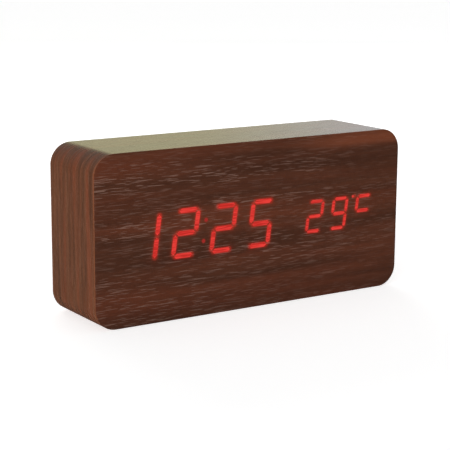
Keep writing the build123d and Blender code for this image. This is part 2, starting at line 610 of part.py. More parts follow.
def make_microphone():
    place = [(MICROPHONE_X, SOUND_Z)]
    can = bars(3.0, place, CONTROL_FACE, CONTROL_FACE + 4.6)
    return can - bars(0.9, place, CONTROL_FACE + 4.0, CONTROL_FACE + 4.6)


def make_microphone_boot():
    place = [(MICROPHONE_X, SOUND_Z)]
    boot = bars(3.8, place, CONTROL_FACE + 0.4, LEDGE_Y)
    boot -= bars(3.0, place, CONTROL_FACE + 0.4, CONTROL_FACE + 4.6)
    return boot - bars(0.9, place, CONTROL_FACE + 4.6, LEDGE_Y)


def make_temperature_sensor():
    """A bead on two wires, held up behind the vents."""
    bead_y = CONTROL_FACE + 4.6
    sensor = Pos(SENSOR_X, bead_y, SENSOR_Z) * Sphere(1.2)
    return sensor + bars(0.25, [(SENSOR_X + s * 0.6, SENSOR_Z) for s in (-1, 1)], CONTROL_FACE, bead_y)


def make_bulk_capacitor():
    place, end = (-30.0, 22.0), CONTROL_UNDER - 7.0
    can = rounded_at(bars(3.15, [place], end, CONTROL_UNDER), end, 0.4)
    score = Pos(*place) * (Rectangle(4.2, 0.25) + Rectangle(0.25, 4.2))
    return can - between_planes(score, end, end + 0.2)


def make_voltage_regulator():
    x, z = -17.0, 40.0
    body = chips([(x, z)], (6.5, 3.5), CONTROL_UNDER - 1.6, CONTROL_UNDER)
    tab = chips([(x, z + 2.65)], (3.0, 1.8), CONTROL_UNDER - 0.3, CONTROL_UNDER)
    legs = chips([(x + i * 2.3, z - 2.65) for i in (-1, 0, 1)], (0.7, 1.8), CONTROL_UNDER - 0.3, CONTROL_UNDER)
    return together([body, tab, legs])


def make_control_small_parts():
    """Resistors and capacitors on the side of the board that faces the display."""
    resistors = [(-57.0 + 3.4 * i, 48.5, 90.0) for i in range(8)]
    capacitors = [(-24.0, 40.0, 90.0), (-10.0, 40.0, 90.0), (-40.0, 22.0), (-22.0, 19.0), (-14.0, 30.0)]
    low = chips(resistors, (2.0, 1.25), CONTROL_UNDER - 0.55, CONTROL_UNDER)
    return together([low, chips(capacitors, (2.0, 1.25), CONTROL_UNDER - 1.0, CONTROL_UNDER)])


# ---- The assembly ----
display_resistors = [(-54.0 + 5.2 * i, 23.0, 90.0) for i in range(16)]
digit_transistors = [(-52.0 + 7.5 * i, 47.5) for i in range(7)]
display_capacitors = [(x, z) for x in (-38.0, -6.0, 16.0) for z in (27.6, 44.4)]

parts = {
    "case_body": make_case_body(),
    "front_film": make_front_film(),
    "wrap_film": make_wrap_film(),
    "base_film": make_base_film(),
    "back_film": make_back_film(),
    "display_reflector": make_reflector(),
    "time_lenses": make_lenses([TIME], True),
    "temperature_lenses": make_lenses([TEMPERATURE], True),
    "dot_lenses": make_dot_lenses(),
    "unlit_lenses": make_lenses([TIME, TEMPERATURE], False),
    "led_chips": make_led_chips(),
    "display_board": make_display_board(),
    "display_screws": make_display_screws(),
    "display_chips": make_display_chips(),
    "display_chip_leads": make_display_chip_leads(),
    "digit_transistors": chips(digit_transistors, (2.9, 1.3), DISPLAY_FACE, DISPLAY_FACE + 1.1),
    "display_resistors": chips(display_resistors, (2.0, 1.25), DISPLAY_FACE, DISPLAY_FACE + 0.55),
    "display_capacitors": chips(display_capacitors, (2.0, 1.25), DISPLAY_FACE, DISPLAY_FACE + 1.0),
    "clock_crystal": make_clock_crystal(),
    "backup_cell_holder": make_backup_cell_holder(),
    "backup_cell": bars(COIN_RADIUS, [(COIN_X, ROW_Z)], DISPLAY_FACE + 1.0, DISPLAY_FACE + 4.2),
    "backup_cell_clip": make_backup_cell_clip(),
    "display_connector": make_connector(RIBBON_FROM_X, DISPLAY_FACE, 1),
    "control_connector": make_connector(RIBBON_TO_X, CONTROL_UNDER, -1),
    "ribbon_plugs": make_ribbon_plugs(),
    "ribbon_cable": make_ribbon_cable(),
    "back_panel": make_back_panel(),
    "back_panel_screws": screws(PANEL_SCREWS, PANEL_BACK - COUNTERBORE_DEPTH, 1.1, 10.0, (2.3, 1.3), -1),
    "battery_tray": make_battery_tray(),
    "tray_screws": screws(TRAY_SCREWS, LEDGE_Y - TRAY_WALL, 0.8, 3.0, (1.5, 1.1), 1),
    "battery_cells": make_battery_cells(),
    "cell_jackets": make_cell_jackets(),
    "contact_plates": make_contact_plates(),
    "contact_springs": make_contact_springs(),
    "battery_lead_red": make_battery_lead(CELL_Z[3], 47.0),
    "battery_lead_black": make_battery_lead(CELL_Z[0], 23.0),
    "battery_door": make_battery_door(),
    "door_latch": make_door_latch(),
    "control_board": make_control_board(),
    "control_board_screws": screws(STANDOFFS, CONTROL_UNDER, 0.85, 6.4, (1.6, 1.2), 1),
    "switch_bodies": make_switch_bodies(),
    "switch_covers": make_switch_covers(),
    "switch_terminals": make_switch_terminals(),
    "usb_socket_shell": make_usb_shell(),
    "usb_socket_tongue": make_usb_tongue(),
    "buzzer": make_buzzer(),
    "microphone": make_microphone(),
    "microphone_boot": make_microphone_boot(),
    "temperature_sensor": make_temperature_sensor(),
    "bulk_capacitor": make_bulk_capacitor(),
    "voltage_regulator": make_voltage_regulator(),
    "control_small_parts": make_control_small_parts(),
}
for button, x in BUTTONS.items():
    parts[f"{button}_button"] = make_button(x)
    parts[f"{button}_plunger"] = make_plunger(x)

os.makedirs("parts", exist_ok=True)
for name, shape in parts.items():
    export_step(shape, f"parts/{name}.step")
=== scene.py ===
import json
import math

import bmesh
import bpy
from mathutils import Matrix, Vector


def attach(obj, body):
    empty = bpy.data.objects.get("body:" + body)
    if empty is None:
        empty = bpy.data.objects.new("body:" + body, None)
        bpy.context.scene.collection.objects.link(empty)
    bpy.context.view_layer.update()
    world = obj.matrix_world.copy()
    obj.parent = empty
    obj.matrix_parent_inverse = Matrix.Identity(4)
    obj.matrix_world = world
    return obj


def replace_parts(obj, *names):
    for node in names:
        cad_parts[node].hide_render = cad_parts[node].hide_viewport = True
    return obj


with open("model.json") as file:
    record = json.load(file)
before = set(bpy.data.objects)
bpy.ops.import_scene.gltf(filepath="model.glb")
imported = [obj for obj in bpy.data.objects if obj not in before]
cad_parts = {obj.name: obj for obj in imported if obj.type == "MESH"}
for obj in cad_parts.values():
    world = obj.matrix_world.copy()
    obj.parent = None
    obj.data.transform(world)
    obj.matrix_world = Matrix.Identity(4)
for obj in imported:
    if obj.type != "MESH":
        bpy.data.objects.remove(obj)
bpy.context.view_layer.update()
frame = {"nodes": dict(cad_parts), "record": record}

# Wood-look LED alarm clock: its looks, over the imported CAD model.
#
# Two film pieces stand for the CAD ones: the front film, with the light that spreads beside the lit
# strokes, and the wrap, with a grain that follows it round the sides and the top. Every other CAD
# piece keeps its shape and gets its real finish. Lengths are in metres, through MM, except where a
# section says that they are in millimetres.

MM = 0.001

# ---- Case ----
WIDTH, HEIGHT, CORNER_RADIUS = 150.0 * MM, 70.0 * MM, 9.0 * MM
FILM = 0.3 * MM
FILM_EDGE_RADIUS = 0.2 * MM
FRONT_Y, BODY_FRONT_Y, BODY_BACK_Y = -19.0 * MM, -18.7 * MM, 18.7 * MM
PANEL_BACK_Y = 18.5 * MM
KEY_MARK_Y = PANEL_BACK_Y + 0.15 * MM  # the foil on the raised key marks starts here
LENS_PROUD = 0.015 * MM  # the lenses stand this far out of the front film, so that their edges stay crisp
WRAP_END_X = 67.87 * MM  # where the wrap ends under the clock, 78 degrees round each lower corner
CORNER_SEGMENTS = 24
SHARP_ABOVE = math.radians(25)  # edges that turn by more than this are kept sharp
FRAME_CUTS = (CORNER_RADIUS, 4 * MM, 1 * MM)  # cuts round the front, from each side of it
SUPPORT = 0.3 * MM  # from a tangent line to the cut that keeps the flat beside it flat

# ---- Display, in millimetres ----
ROW_Z = 35.4
SLANT = math.tan(math.radians(8))
TIME = dict(height=20.3, stroke=2.0, columns=9.5, pitch=18.1, first=-52.05, digits="1225", light=1.0)
TEMPERATURE = dict(height=14.2, stroke=1.5, columns=7.0, pitch=12.8, first=30.2, digits="29C", light=0.7)
LIT = {"1": "bc", "2": "abged", "5": "afgcd", "9": "abcdfg", "C": "afg"}
DOTS = [(-25.0, 4.3, 0.8, 0.35), (-25.0, -4.3, 0.8, 0.35), (50.4, 6.6, 0.6, 0.8)]  # x, rise, radius, light
GLOW_AREA = (-62.0, 64.0), (21.0, 50.0)  # the x and z ranges that the light can reach
GLOW_STEP = 0.35
RIM_GLOW, RIM_FADE = 0.5, 0.25  # a strong glow close to each stroke, and the distance it fades over
HAZE_GLOW, HAZE_FADE, HAZE_REACH = 0.05, 1.5, 6.0  # a faint one farther out

# ---- Cells, in millimetres ----
CELLS_X, CELL_PITCH = 34.0, 10.85
# Rows are counted in pairs up the clock, and the lowest row of cells starts at half a pair.
CELL_ROW_START = 0.5 - (HEIGHT / MM / 2 - 2 * CELL_PITCH) / (2 * CELL_PITCH)
CELL_BAND = 13.0, 13.1  # the printed band starts this far from a cell's middle


# ---- Meshes ----
def finished_piece(name, mesh, finish, replaced):
    """Turns a bmesh into a piece that rides on the case and stands for CAD nodes."""
    data = bpy.data.meshes.new(name)
    mesh.to_mesh(data)
    mesh.free()
    data.materials.append(finish)
    piece = bpy.data.objects.new(name, data)
    bpy.context.scene.collection.objects.link(piece)
    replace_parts(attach(piece, "case"), *replaced)
    return piece


def outline_face(mesh, y):
    """The clock's outline as one face at a depth, facing forwards."""
    side = WIDTH / 2
    places = ((-side, 0), (side, 0), (side, HEIGHT), (-side, HEIGHT))
    corners = [mesh.verts.new((x, y, z)) for x, z in places]
    mesh.faces.new(corners)
    round_corner = dict(offset=CORNER_RADIUS, segments=CORNER_SEGMENTS, profile=0.5, material=-1)
    bmesh.ops.bevel(mesh, geom=corners, affect="VERTICES", **round_corner)
    return mesh.faces[:]


def cut(mesh, faces, across, places):
    """Cuts some of the mesh's faces at each place along a direction, and gives the faces they become."""
    part = {edge for face in faces for edge in face.edges} | {vert for face in faces for vert in face.verts}
    part = list(part) + list(faces)
    for place in places:
        plane = dict(plane_co=across * place, plane_no=across)
        part = bmesh.ops.bisect_plane(mesh, geom=part, dist=1e-7, **plane)["geom"]
    return [piece for piece in part if isinstance(piece, bmesh.types.BMFace)]


def smooth_rounds(mesh):
    """Shades the mesh smooth, all but its sharp edges."""
    for face in mesh.faces:
        face.smooth = True
    for edge in mesh.edges:
        edge.smooth = edge.calc_face_angle(0) < SHARP_ABOVE


def spaced(low, high, step):
    """Evenly spaced places from one value to another, about a step apart."""
    count = round((high - low) / step)
    return [low + (high - low) * i / count for i in range(count + 1)]


# ---- Light beside the lit strokes ----
def lit_strokes():
    """Each lit stroke and dot in millimetres: its ends, half its width, and its light."""
    strokes = []
    for kind in (TIME, TEMPERATURE):
        row, column = (kind["height"] - kind["stroke"]) / 2, kind["columns"] / 2
        ends = {name: (-column, v, column, v) for name, v in (("a", row), ("g", 0), ("d", -row))}
        ends |= {name: (u, 0, u, row) for name, u in (("b", column), ("f", -column))}
        ends |= {name: (u, -row, u, 0) for name, u in (("c", column), ("e", -column))}
        for place, digit in enumerate(kind["digits"]):
            x = kind["first"] + place * kind["pitch"]
            for name in LIT[digit]:
                u0, v0, u1, v1 = ends[name]
                start = Vector((x + u0 + v0 * SLANT, ROW_Z + v0))
                end = Vector((x + u1 + v1 * SLANT, ROW_Z + v1))
                inwards = (end - start).normalized() * kind["stroke"] / 2
                strokes.append((start + inwards, end - inwards, kind["stroke"] / 2, kind["light"]))
    for x, rise, radius, light in DOTS:
        middle = Vector((x + rise * SLANT, ROW_Z + rise))
        strokes.append((middle, middle + Vector((0.01, 0)), radius, light))
    return strokes


def glow_at(place, strokes):
    """How strongly the film glows at a place: a bright rim on each stroke and a faint haze round it."""
    glow = 0.0
    for start, end, half, light in strokes:
        run = end - start
        share = min(max((place - start).dot(run) / run.length_squared, 0.0), 1.0)
        away = max((place - start - run * share).length - half, 0.0)
        if away < HAZE_REACH:
            spread = RIM_GLOW * math.exp(-away / RIM_FADE) + HAZE_GLOW * math.exp(-away / HAZE_FADE)
            glow = max(glow, light * spread)
    return glow


def make_front_film(finish):
    """The unbroken film on the front, thin and flat with a softened rim."""
    mesh = bmesh.new()
    front = outline_face(mesh, FRONT_Y + LENS_PROUD)
    back = bmesh.ops.extrude_face_region(mesh, geom=front, use_keep_orig=True)["geom"]
    back_verts = [part for part in back if isinstance(part, bmesh.types.BMVert)]
    bmesh.ops.translate(mesh, verts=back_verts, vec=(0, BODY_FRONT_Y - FRONT_Y - LENS_PROUD, 0))
    bmesh.ops.recalc_face_normals(mesh, faces=mesh.faces[:])
    rim = [edge for edge in mesh.edges if all(v.co.y < FRONT_Y + 2 * LENS_PROUD for v in edge.verts)]
    softened = dict(offset=FILM_EDGE_RADIUS, segments=3, profile=0.5, material=-1)
    bmesh.ops.bevel(mesh, geom=rim, affect="EDGES", **softened)
    (left, right), (low, high) = GLOW_AREA
    edges_x = [sign * (WIDTH / 2 - inset) for sign in (-1, 1) for inset in FRAME_CUTS]
    edges_z = [*reversed(FRAME_CUTS), *(HEIGHT - inset for inset in FRAME_CUTS)]
    flat = [face for face in mesh.faces if face.calc_center_median().y < FRONT_Y + 1.01 * LENS_PROUD]
    flat = cut(mesh, flat, Vector((1, 0, 0)), edges_x + [x * MM for x in spaced(left, right, GLOW_STEP)])
    cut(mesh, flat, Vector((0, 0, 1)), edges_z + [z * MM for z in spaced(low, high, GLOW_STEP)])
    glow = mesh.verts.layers.float.new("glow")
    strokes = lit_strokes()
    for vert in mesh.verts:
        x, y, z = vert.co / MM
        if left < x < right and low < z < high and vert.co.y < BODY_FRONT_Y - LENS_PROUD:
            vert[glow] = glow_at(Vector((x, z)), strokes)
    smooth_rounds(mesh)
    return finished_piece("front_film_shown", mesh, finish, ["front_film"])


def along_wrap(x, z):
    """The way round the wrap from the middle of its top, in metres, negative to the left."""
    flat_x, flat_z = WIDTH / 2 - CORNER_RADIUS, HEIGHT - CORNER_RADIUS
    quarter = CORNER_RADIUS * math.pi / 2
    turn_x = max(abs(x) - flat_x, 0.0)
    if z >= flat_z:
        way = min(abs(x), flat_x) + CORNER_RADIUS * math.atan2(turn_x, z - flat_z)
    else:
        way = flat_x + quarter + flat_z - max(z, CORNER_RADIUS)
        way += CORNER_RADIUS * math.atan2(max(CORNER_RADIUS - z, 0.0), turn_x)
    return math.copysign(way, x)


def make_wrap(finish):
    """The strip of film over both sides and the top, which ends under the lower corners."""
    mesh = bmesh.new()
    face = outline_face(mesh, BODY_FRONT_Y)
    even = dict(use_boundary=True, use_even_offset=True)
    rim = bmesh.ops.inset_region(mesh, faces=face, thickness=FILM, **even)["faces"]
    bmesh.ops.delete(mesh, geom=[f for f in mesh.faces if f not in rim], context="FACES")
    grown = bmesh.ops.extrude_face_region(mesh, geom=mesh.faces[:], use_keep_orig=True)["geom"]
    verts = [part for part in grown if isinstance(part, bmesh.types.BMVert)]
    bmesh.ops.translate(mesh, verts=verts, vec=(0, BODY_BACK_Y - BODY_FRONT_Y, 0))
    inner_x, inner_z = WIDTH / 2 - CORNER_RADIUS - SUPPORT, CORNER_RADIUS + SUPPORT
    cut(mesh, mesh.faces[:], Vector((1, 0, 0)), [-WRAP_END_X, -inner_x, inner_x, WRAP_END_X])
    cut(mesh, mesh.faces[:], Vector((0, 0, 1)), [inner_z, HEIGHT - inner_z])
    middles = {face: face.calc_center_median() for face in mesh.faces}
    under = [f for f, middle in middles.items() if abs(middle.x) < WRAP_END_X and middle.z < HEIGHT / 2]
    bmesh.ops.delete(mesh, geom=under, context="FACES")
    ends = [edge for edge in mesh.edges if edge.is_boundary]
    bmesh.ops.holes_fill(mesh, edges=ends, sides=0)
    bmesh.ops.recalc_face_normals(mesh, faces=mesh.faces[:])
    coordinates = mesh.loops.layers.uv.new("along_the_grain")
    for face in mesh.faces:
        for loop in face.loops:
            x, y, z = loop.vert.co
            loop[coordinates].uv = (along_wrap(x, z), y)
    smooth_rounds(mesh)
    return finished_piece("wrap_film_shown", mesh, finish, ["wrap_film"])


# ---- Finishes: building blocks ----
def linear(colour):
    """An sRGB hex colour as linear red, green, blue and alpha."""
    channels = [int(colour[i : i + 2], 16) / 255 for i in (1, 3, 5)]
    return [c / 12.92 if c <= 0.04045 else ((c + 0.055) / 1.055) ** 2.4 for c in channels] + [1.0]


def per_mm(*sizes):
    """Mapping scales that make one unit of a pattern this many millimetres."""
    return [1 / (size * MM) for size in sizes]


def node(tree, kind, inputs, out=0, **settings):
    """Adds a node and gives one of its outputs. An input takes a value, or the output that feeds it."""
    made = tree.nodes.new(kind)
    for name, value in settings.items():
        setattr(made, name, value)
    for name, value in inputs.items():
        if isinstance(value, bpy.types.NodeSocket):
            tree.links.new(value, made.inputs[name])
        else:
            made.inputs[name].default_value = value
    return made.outputs[out] if made.outputs else None


def finish_of(name, surface, **words):
    """A material whose surface is built by a function, under the real finish's name."""
    material = bpy.data.materials.new(name)
    material.use_nodes = True
    tree = material.node_tree
    tree.nodes.clear()
    node(tree, "ShaderNodeOutputMaterial", {"Surface": surface(tree, **words)})
    return material


COLOUR = {"data_type": "RGBA", "out": 2}  # a Mix node on colours: inputs 0 factor, 6 first, 7 second
SMOOTH = {"interpolation_type": "SMOOTHSTEP"}


# ---- Finishes: film ----
def grain(tree, place, band=5.0):
    """The print's patterns, in a space that is stretched twenty times along the grain.

    Pores some 0.25 mm wide and 5 mm long, fibres as fine, and colour bands as wide as is asked, in
    millimetres. The real pores are 0.1 to 0.2 mm wide, drawn coarser so that they show.
    """
    stretched = node(tree, "ShaderNodeMapping", {"Vector": place, "Scale": per_mm(20, 1, 1)})
    spread = node(tree, "ShaderNodeMapping", {"Vector": place, "Scale": per_mm(30, 11, 11)})
    drift = node(tree, "ShaderNodeTexNoise", {"Vector": spread, "Scale": 1.0, "Detail": 1.0}, out="Color")
    wander = {0: drift, 1: (0.05, 0.4, 0.4), 2: stretched}
    wandering = node(tree, "ShaderNodeVectorMath", wander, operation="MULTIPLY_ADD")
    layers = {
        "bands": dict(W=0.0, Scale=1 / band, Detail=3.0, Roughness=0.62),
        "reds": dict(W=4.3, Scale=0.55 / band, Detail=2.0),
        "fibres": dict(W=0.0, Scale=3.0, Detail=2.0, Roughness=0.7),
        "strokes": dict(W=7.7, Scale=3.6, Detail=0.5),
        "crowd": dict(W=1.7, Scale=0.16, Detail=1.0),
    }
    found = {}
    for name, words in layers.items():
        found[name] = node(tree, "ShaderNodeTexNoise", {"Vector": wandering} | words, noise_dimensions="4D")
    pores = {"Value": found["strokes"], "From Min": 0.58, "From Max": 0.65}
    pores = node(tree, "ShaderNodeMapRange", pores, **SMOOTH)
    crowded = {"Value": found["crowd"], "From Min": 0.38, "From Max": 0.6, "To Min": 0.3}
    crowded = node(tree, "ShaderNodeMapRange", crowded)
    found["pores"] = node(tree, "ShaderNodeMath", {0: pores, 1: crowded}, operation="MULTIPLY")
    return found


def wood_print(tree, found, dark, middle, red, pore, pore_share):
    """The print's colour: dark and middling bands, a red tint, fibres, and pale pores."""
    band = {"Value": found["bands"], "From Min": 0.33, "From Max": 0.67}
    band = node(tree, "ShaderNodeMapRange", band, **SMOOTH)
    colour = node(tree, "ShaderNodeMix", {0: band, 6: linear(dark), 7: linear(middle)}, **COLOUR)
    tint = {"Value": found["reds"], "From Min": 0.42, "From Max": 0.7, "To Max": 0.75}
    tint = node(tree, "ShaderNodeMapRange", tint, **SMOOTH)
    colour = node(tree, "ShaderNodeMix", {0: tint, 6: colour, 7: linear(red)}, **COLOUR)
    shade = {"Value": found["fibres"], "From Min": 0.3, "From Max": 0.7, "To Min": 0.86, "To Max": 1.14}
    shade = node(tree, "ShaderNodeMapRange", shade)
    colour = node(tree, "ShaderNodeVectorMath", {0: colour, "Scale": shade}, operation="SCALE")
    share = node(tree, "ShaderNodeMath", {0: found["pores"], 1: pore_share}, operation="MULTIPLY")
    return node(tree, "ShaderNodeMix", {0: share, 6: colour, 7: linear(pore)}, **COLOUR)


def embossing(tree, found, strength):
    """The film's pores are pressed 0.03 mm deep along their print, over a faint fibre relief."""
    depth = {0: found["pores"], 1: -1.0, 2: found["fibres"]}
    depth = node(tree, "ShaderNodeMath", depth, operation="MULTIPLY_ADD")
    return node(tree, "ShaderNodeBump", {"Height": depth, "Strength": strength, "Distance": 0.03 * MM})


def streak_and_painted_shade(tree, colour, x, z, bands):
    """A rusty streak in the print along the top right, and painted shade that darkens the front towards its
    bottom.
    """
    high = {"Value": z, "From Min": 63 * MM, "From Max": 66 * MM}
    high = node(tree, "ShaderNodeMapRange", high, **SMOOTH)
    far = {"Value": x, "From Min": 5 * MM, "From Max": 55 * MM}
    far = node(tree, "ShaderNodeMapRange", far, **SMOOTH)
    streak = node(tree, "ShaderNodeMath", {0: high, 1: far}, operation="MULTIPLY")
    streak = node(tree, "ShaderNodeMath", {0: streak, 1: bands}, operation="MULTIPLY")
    colour = node(tree, "ShaderNodeMix", {0: streak, 6: colour, 7: linear("#84401f")}, **COLOUR)
    # Painted shade: the colour is darkened by up to a quarter towards the bottom of the front.
    painted_foot_shade = {"Value": z, "From Min": 2 * MM, "From Max": 16 * MM, "To Min": 0.75, "To Max": 1.0}
    painted_foot_shade = node(tree, "ShaderNodeMapRange", painted_foot_shade, **SMOOTH)
    return node(tree, "ShaderNodeVectorMath", {0: colour, "Scale": painted_foot_shade}, operation="SCALE")


def light_through_film(tree, fibres):
    """Dark red light beside the lit strokes, from the mesh's glow, broken up by the fibres."""
    glow = node(tree, "ShaderNodeAttribute", {}, out="Fac", attribute_name="glow")
    veil = {"Value": fibres, "From Min": 0.35, "From Max": 0.65, "To Min": 0.6, "To Max": 1.1}
    veil = node(tree, "ShaderNodeMapRange", veil)
    glow = node(tree, "ShaderNodeMath", {0: glow, 1: veil}, operation="MULTIPLY")
    return node(tree, "ShaderNodeMix", {0: glow, 6: (0, 0, 0, 1), 7: linear("#c01812")}, **COLOUR)


def front_film_surface(tree):
    """PVC decor film, printed dark brown and embossed with long pores, satin.

    It gives warm dark bands under fine pale strokes, a soft sheen that breaks up along the pores, and
    dark red light where the display glows through beside its strokes.
    """
    place = node(tree, "ShaderNodeTexCoord", {}, out="Object")
    found = grain(tree, place)
    x, z = (node(tree, "ShaderNodeSeparateXYZ", {0: place}, out=axis) for axis in (0, 2))
    # The print has fewer open pores towards its right end.
    closed = {"Value": x, "From Min": -30 * MM, "From Max": 70 * MM, "To Min": 1.0, "To Max": 0.45}
    closed = node(tree, "ShaderNodeMapRange", closed)
    found["pores"] = node(tree, "ShaderNodeMath", {0: found["pores"], 1: closed}, operation="MULTIPLY")
    colour = wood_print(tree, found, "#492410", "#572c16", "#6c3115", "#957263", 0.5)
    dull = {"Value": found["pores"], "From Min": 0.0, "From Max": 1.0, "To Min": 0.42, "To Max": 0.6}
    surface = {
        "Base Color": streak_and_painted_shade(tree, colour, x, z, found["bands"]),
        "Roughness": node(tree, "ShaderNodeMapRange", dull),
        "IOR": 1.5,
        "Normal": embossing(tree, found, 0.5),
        "Emission Color": light_through_film(tree, found["fibres"]),
        "Emission Strength": 1.0,
    }
    return node(tree, "ShaderNodeBsdfPrincipled", surface)


def wrap_film_surface(tree):
    """The same kind of film on the sides and the top, with hardly any open pores.

    It gives soft streaks of brown and red along the wrap, a satin sheen that turns pale at a low angle,
    and a lighter line where the film's cut edge meets the front: partly the pale cut edge, partly a
    painted highlight on the rim.
    """
    place = node(tree, "ShaderNodeUVMap", {}, uv_map="along_the_grain")
    found = grain(tree, place, band=1.8)
    colour = wood_print(tree, found, "#5a3826", "#744932", "#80452c", "#86604c", 0.2)
    depth = node(tree, "ShaderNodeSeparateXYZ", {0: place}, out=1)
    # A lighter line along the front edge: partly the film's pale cut edge, partly a painted highlight on the
    # rim.
    line = {"Value": depth, "From Min": BODY_FRONT_Y + 0.9 * MM, "From Max": BODY_FRONT_Y, "To Max": 0.7}
    line = node(tree, "ShaderNodeMapRange", line, **SMOOTH)
    colour = node(tree, "ShaderNodeMix", {0: line, 6: colour, 7: linear("#a05c38")}, **COLOUR)
    dull = {"Value": found["fibres"], "From Min": 0.3, "From Max": 0.7, "To Min": 0.2, "To Max": 0.3}
    surface = {
        "Base Color": colour,
        "Roughness": node(tree, "ShaderNodeMapRange", dull),
        "IOR": 1.5,
        "Normal": embossing(tree, found, 0.1),
    }
    return node(tree, "ShaderNodeBsdfPrincipled", surface)


def plain_film_surface(tree):
    """The front's film on the back rim and under the base, where nothing shines through."""
    found = grain(tree, node(tree, "ShaderNodeTexCoord", {}, out="Object"))
    surface = {
        "Base Color": wood_print(tree, found, "#43200d", "#552b15", "#683014", "#957263", 0.45),
        "Roughness": 0.45,
        "IOR": 1.5,
        "Normal": embossing(tree, found, 0.5),
    }
    return node(tree, "ShaderNodeBsdfPrincipled", surface)


# ---- Finishes: the display's light ----
def lens_surface(tree, bright, dim, body):
    """Diffusing acrylic behind the printed film, lit from behind by a red LED, or unlit.

    It gives an even red that the print's fibres darken a little in fine level lines.
    """
    found = grain(tree, node(tree, "ShaderNodeTexCoord", {}, out="Object"))
    veil = {"Value": found["strokes"], "From Min": 0.6, "From Max": 0.42}
    veil = node(tree, "ShaderNodeMapRange", veil, **SMOOTH)
    light = {0: veil, 6: linear(dim), 7: linear(bright)}
    surface = {
        "Base Color": linear(body),
        "Roughness": 0.4,
        "IOR": 1.49,
        "Emission Color": node(tree, "ShaderNodeMix", light, **COLOUR),
        "Emission Strength": 1.0,
    }
    return node(tree, "ShaderNodeBsdfPrincipled", surface)


def dot_surface(tree):
    """The same acrylic over small LEDs: a dark, dull red for the colon, and a brighter degree dot."""
    place = node(tree, "ShaderNodeTexCoord", {}, out="Object")
    x = node(tree, "ShaderNodeSeparateXYZ", {0: place}, out=0)
    degree = node(tree, "ShaderNodeMapRange", {"Value": x, "From Min": 10 * MM, "From Max": 20 * MM})
    light = {0: degree, 6: linear("#96241f"), 7: linear("#d83a30")}
    surface = {
        "Base Color": linear("#3a0a08"),
        "Roughness": 0.4,
        "IOR": 1.49,
        "Emission Color": node(tree, "ShaderNodeMix", light, **COLOUR),
        "Emission Strength": 1.0,
    }
    return node(tree, "ShaderNodeBsdfPrincipled", surface)


# ---- Finishes: plastics, rubber and board ----
def foiled(tree, colour, place, speckle, foil_y):
    """White foil stamped on whatever stands out behind foil_y, slightly worn."""
    y = node(tree, "ShaderNodeSeparateXYZ", {0: place}, out=1)
    foil = {"Value": y, "From Min": foil_y, "From Max": foil_y + 0.02 * MM}
    foil = node(tree, "ShaderNodeMapRange", foil)
    worn = {"Value": speckle, "From Min": 0.25, "From Max": 0.45, "To Min": 0.5}
    worn = node(tree, "ShaderNodeMapRange", worn)
    foil = node(tree, "ShaderNodeMath", {0: foil, 1: worn}, operation="MULTIPLY")
    return node(tree, "ShaderNodeMix", {0: foil, 6: colour, 7: linear("#c4c4c0")}, **COLOUR)


def moulded_surface(tree, colour, shade, roughness, texture, depth, foil_y=None):
    """A moulded or cast polymer with its tool's texture.

    The texture is a fine noise, its size and depth in millimetres. It breaks the sheen into a soft
    satin, and a slow shift of colour and gloss keeps large faces from looking printed. The edges are
    softened by 0.15 mm, as a mould's are, so that each catches a thin highlight.
    """
    rounded = node(tree, "ShaderNodeBevel", {"Radius": 0.15 * MM}, samples=4)
    place = node(tree, "ShaderNodeTexCoord", {}, out="Object")
    fine = node(tree, "ShaderNodeMapping", {"Vector": place, "Scale": per_mm(texture, texture, texture)})
    sparks = node(tree, "ShaderNodeTexNoise", {"Vector": fine, "Scale": 1.0, "Detail": 2.0, "Roughness": 0.6})
    broad = node(tree, "ShaderNodeMapping", {"Vector": place, "Scale": per_mm(14, 14, 14)})
    drift = node(tree, "ShaderNodeTexNoise", {"Vector": broad, "Scale": 1.0, "Detail": 2.0})
    mottle = node(tree, "ShaderNodeMath", {0: sparks, 1: 0.35, 2: drift}, operation="MULTIPLY_ADD")
    mottle = node(tree, "ShaderNodeMapRange", {"Value": mottle, "From Min": 0.45, "From Max": 0.9})
    painted = node(tree, "ShaderNodeMix", {0: mottle, 6: linear(shade), 7: linear(colour)}, **COLOUR)
    if foil_y:
        painted = foiled(tree, painted, place, sparks, foil_y)
    gloss = {"Value": drift, "From Min": 0.3, "From Max": 0.7}
    gloss |= {"To Min": roughness - 0.05, "To Max": roughness + 0.05}
    relief = {"Height": sparks, "Strength": 0.5, "Distance": depth * MM, "Normal": rounded}
    surface = {
        "Base Color": painted,
        "Roughness": node(tree, "ShaderNodeMapRange", gloss),
        "IOR": 1.5,
        "Normal": node(tree, "ShaderNodeBump", relief),
    }
    return node(tree, "ShaderNodeBsdfPrincipled", surface)


def fibreboard_surface(tree):
    """Raw medium-density fibreboard, routed: short pale and dark fibres, matt and slightly fuzzy."""
    place = node(tree, "ShaderNodeTexCoord", {}, out="Object")
    # Fibres are up to 3 mm long and 0.1 mm thick, drawn 0.4 mm thick so that they show.
    lying = node(tree, "ShaderNodeMapping", {"Vector": place, "Scale": per_mm(2.4, 0.4, 0.4)})
    fibres = {"Vector": lying, "Scale": 1.0, "Detail": 4.0, "Roughness": 0.7}
    fibres = node(tree, "ShaderNodeTexNoise", fibres)
    seen = node(tree, "ShaderNodeMapRange", {"Value": fibres, "From Min": 0.35, "From Max": 0.65})
    colours = {0: seen, 6: linear("#7d5a3a"), 7: linear("#b8905f")}
    surface = {
        "Base Color": node(tree, "ShaderNodeMix", colours, **COLOUR),
        "Roughness": 0.88,
        "IOR": 1.45,
        "Normal": node(tree, "ShaderNodeBump", {"Height": fibres, "Strength": 0.6, "Distance": 0.12 * MM}),
    }
    return node(tree, "ShaderNodeBsdfPrincipled", surface)


